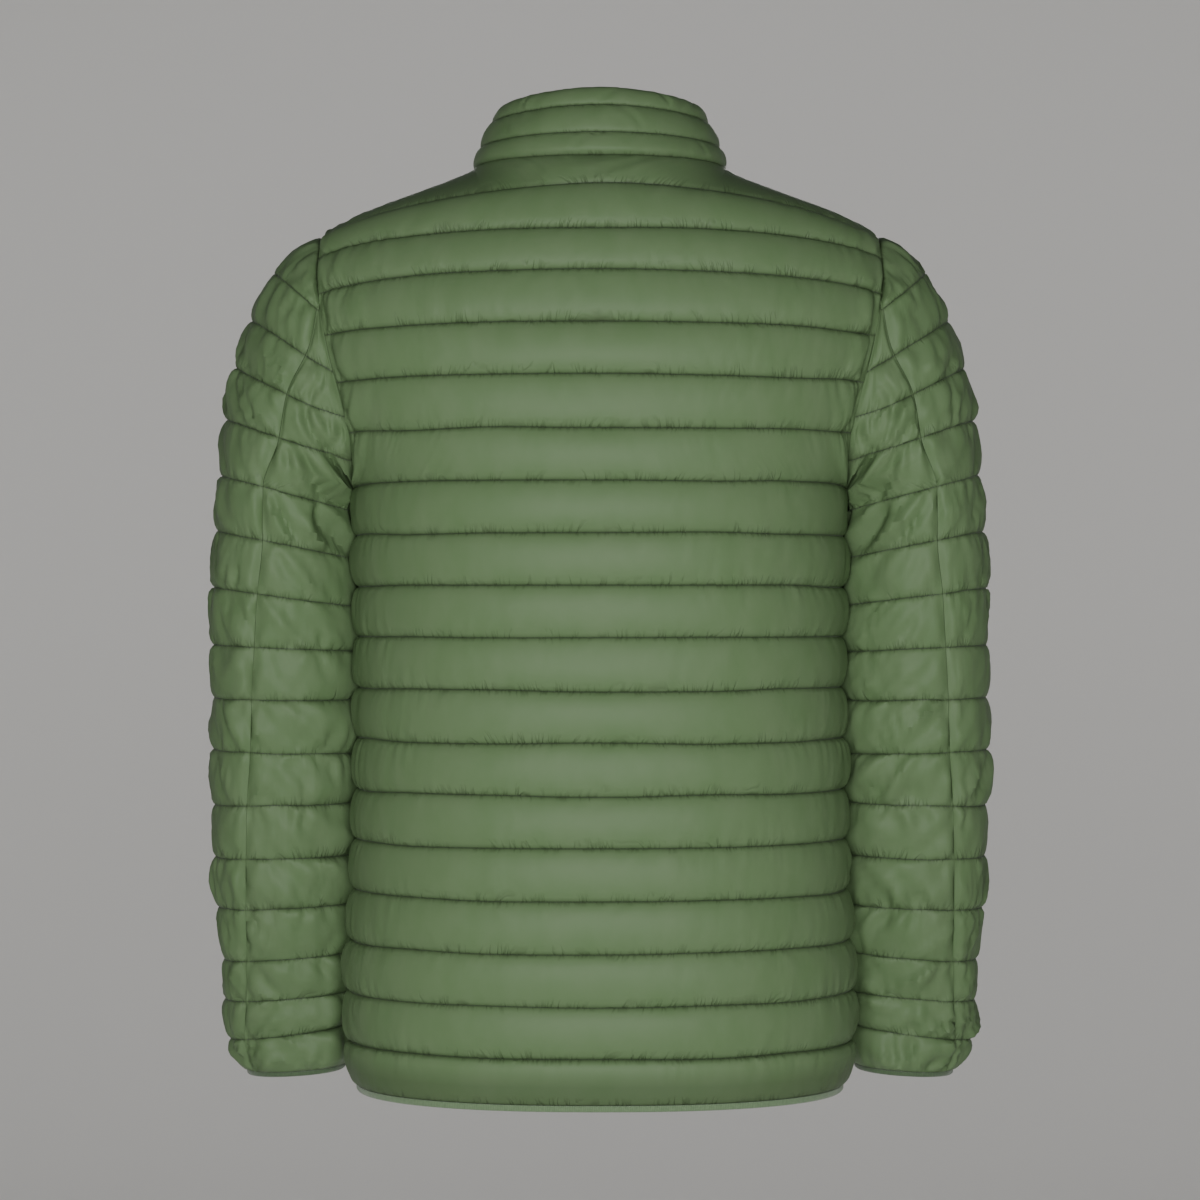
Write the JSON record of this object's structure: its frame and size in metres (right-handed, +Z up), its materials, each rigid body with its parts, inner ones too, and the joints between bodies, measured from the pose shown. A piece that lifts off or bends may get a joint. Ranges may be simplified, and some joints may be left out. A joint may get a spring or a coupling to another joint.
{
  "type": "puffer jacket",
  "caption": "Light quilted jacket with a stand collar, front zip and two-piece sleeves, filled out as if worn.",
  "frame": {"origin": "centre of the base of the neck, at the level of the collar seam at the back", "axes": "+Z up, the front with the zip faces -Y, the wearer's left side is +X"},
  "size_m": [0.6024, 0.2789, 0.7536],
  "materials": {
    "nylon": "satin",
    "elastic": "matt",
    "zip_cloth": "matt",
    "zip_metal": "satin"
  },
  "bodies": {
    "jacket": {"back": "nylon", "front_left": "nylon", "front_right": "nylon", "sleeve_top_left": "nylon", "sleeve_top_right": "nylon", "sleeve_under_left": "nylon", "sleeve_under_right": "nylon", "collar": "nylon", "hem_binding": "elastic", "cuff_binding_left": "elastic", "cuff_binding_right": "elastic", "zip_tape_left": "zip_cloth", "zip_tape_right": "zip_cloth", "zip_slider": "zip_metal"},
    "pull": {"zip_pull": "zip_metal"}
  },
  "joints": [
    {"name": "pull_swing", "type": "hinge", "parent": "jacket", "child": "pull", "pos_m": [0, -0.10256, -0.00212], "axis": [-1, 0, 0], "range_deg": [0, 150]}
  ]
}
